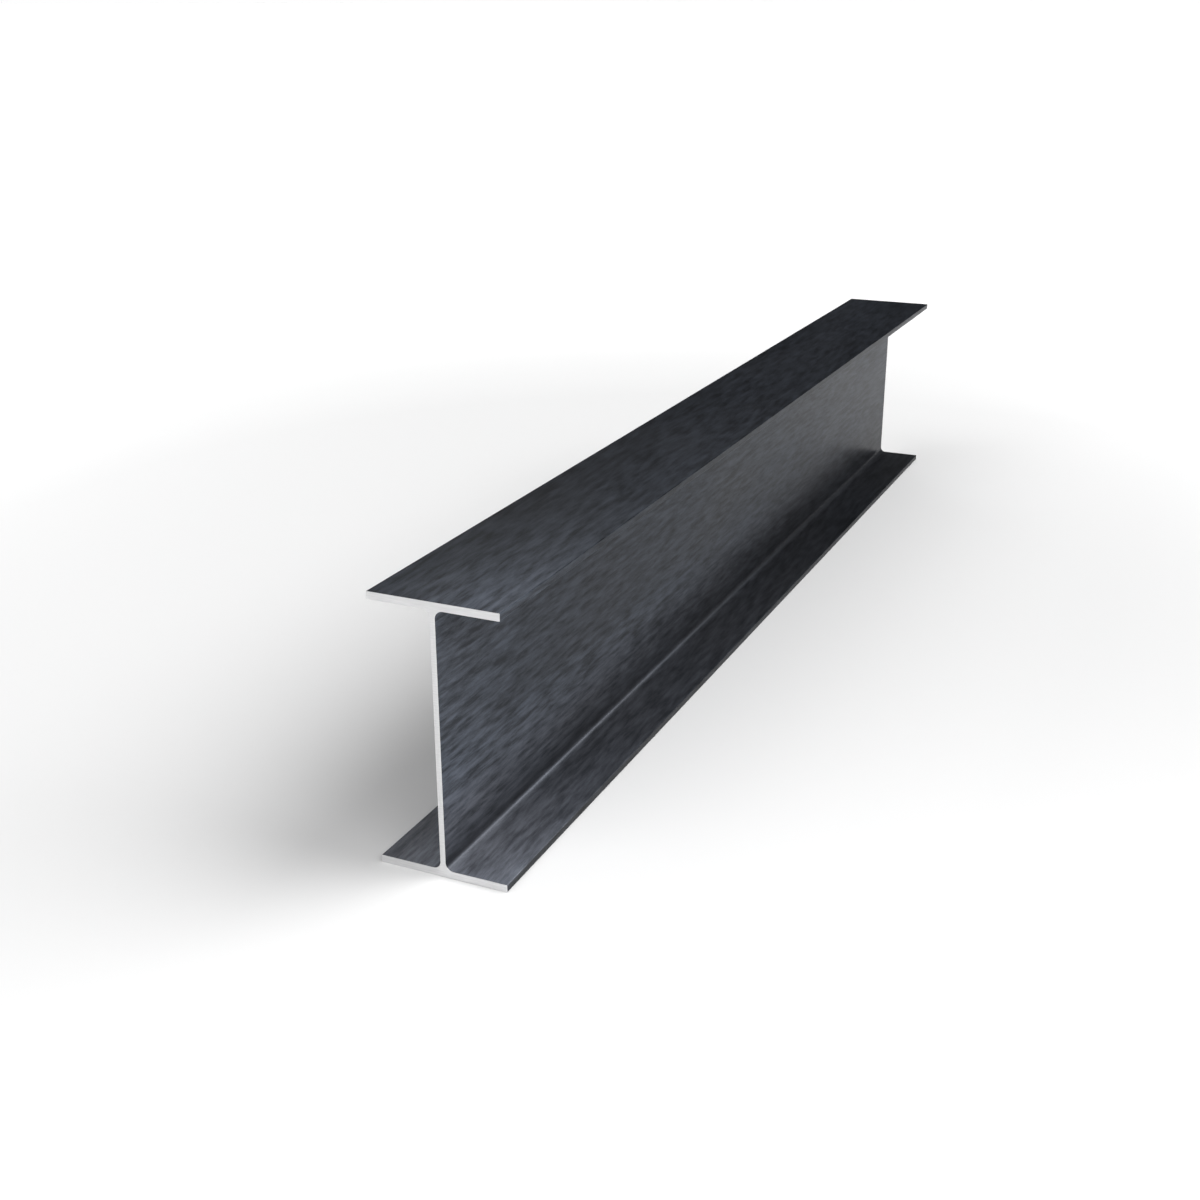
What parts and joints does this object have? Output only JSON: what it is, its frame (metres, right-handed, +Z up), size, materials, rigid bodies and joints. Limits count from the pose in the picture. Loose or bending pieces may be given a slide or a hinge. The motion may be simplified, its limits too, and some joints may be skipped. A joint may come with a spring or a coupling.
{
  "type": "steel i-beam",
  "caption": "Hot-rolled structural steel I-beam with parallel flanges, rounded web roots and square sawn ends, a short cut length that stands on its bottom flange to carry bending loads.",
  "frame": {"origin": "middle of the underside of the bottom flange, halfway along the beam", "axes": "+X along the beam, +Y across the flanges, +Z up the web from the bottom flange to the top flange"},
  "size_m": [2, 0.1712, 0.3514],
  "materials": {
    "rolled_steel": "dark blue-grey mill scale on the rolled faces, pale matt steel on the sawn ends"
  },
  "bodies": {
    "root": {"steel_i_beam": "rolled_steel"}
  },
  "joints": []
}
